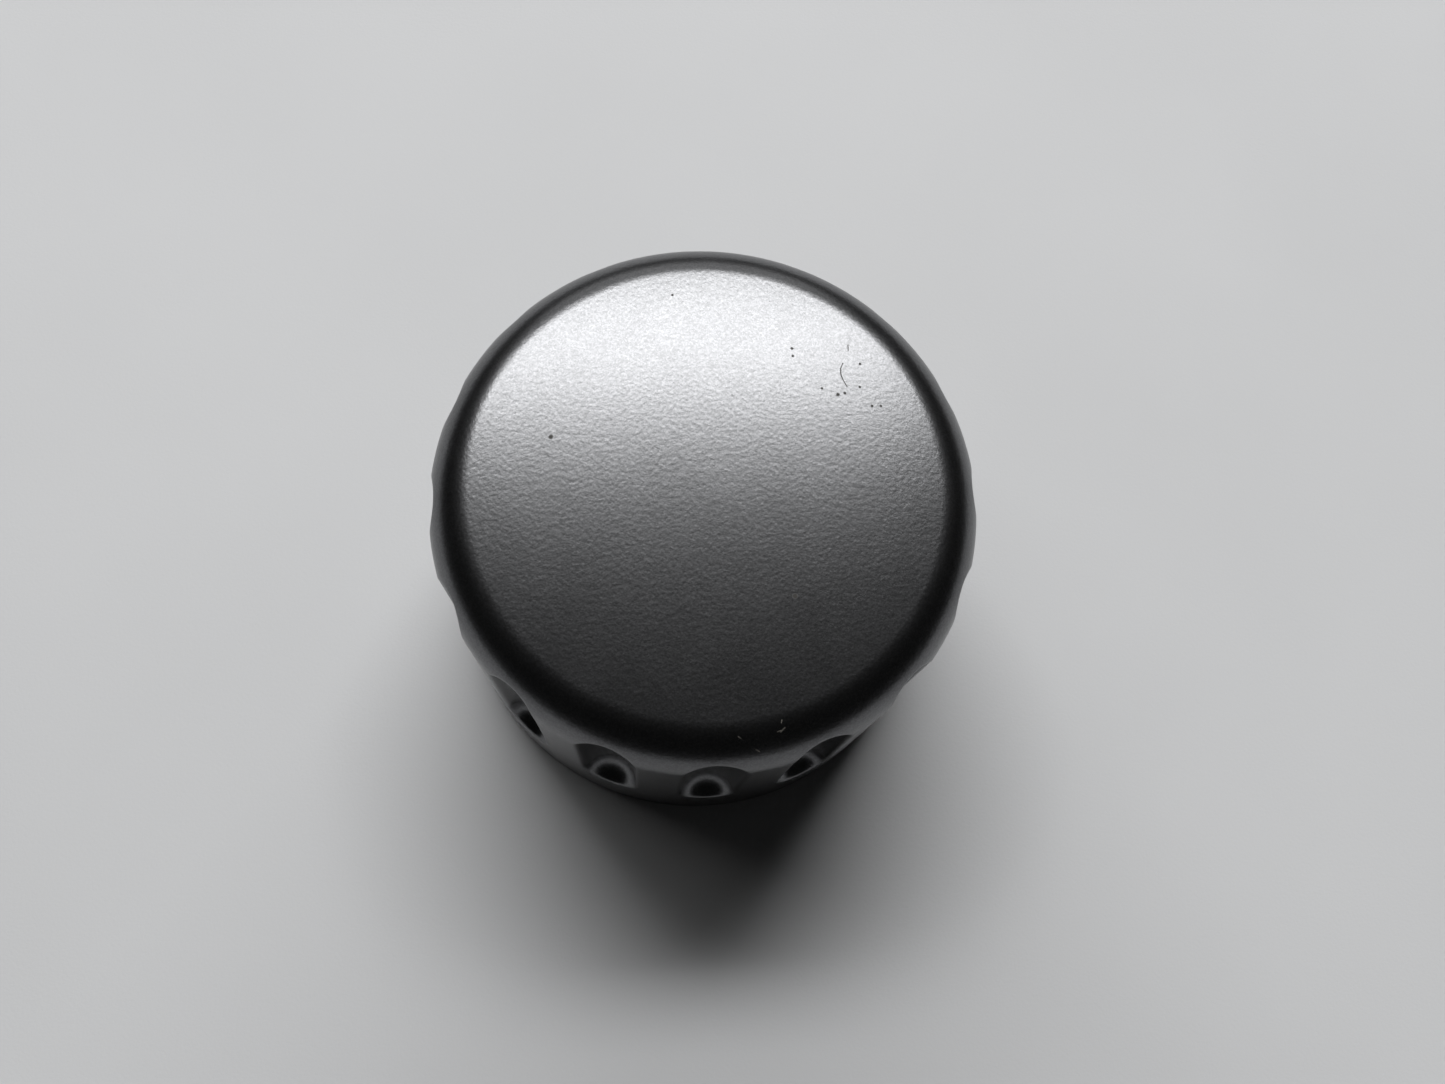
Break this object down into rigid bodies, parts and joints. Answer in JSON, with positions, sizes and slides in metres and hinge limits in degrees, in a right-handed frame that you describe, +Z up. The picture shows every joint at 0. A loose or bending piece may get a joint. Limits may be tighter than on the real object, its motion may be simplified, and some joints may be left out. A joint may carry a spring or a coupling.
{
  "type": "climate control knob",
  "caption": "Round fluted push-on control knob with a plain, softly domed cap in dark satin metallic paint, a snap-in carrier and a D-shaped shaft bore with a leaf spring.",
  "frame": {"origin": "centre of the cap's open rim, in the plane that the rim stands on", "axes": "+Z up the shaft axis and out through the face, -Y the near side, centred on one flute, +Y the side of the shaft's flat and its spring"},
  "size_m": [0.0344, 0.0344, 0.0238],
  "materials": {
    "cap_paint": "satin dark grey metallic paint with a fine sparkle over moulded plastic",
    "black_plastic": "bare black moulded plastic with a fine grain",
    "spring_steel": "rolled spring steel strip"
  },
  "bodies": {
    "root": {"cap": "cap_paint", "carrier": "black_plastic", "shaft_spring": "spring_steel"}
  },
  "joints": []
}
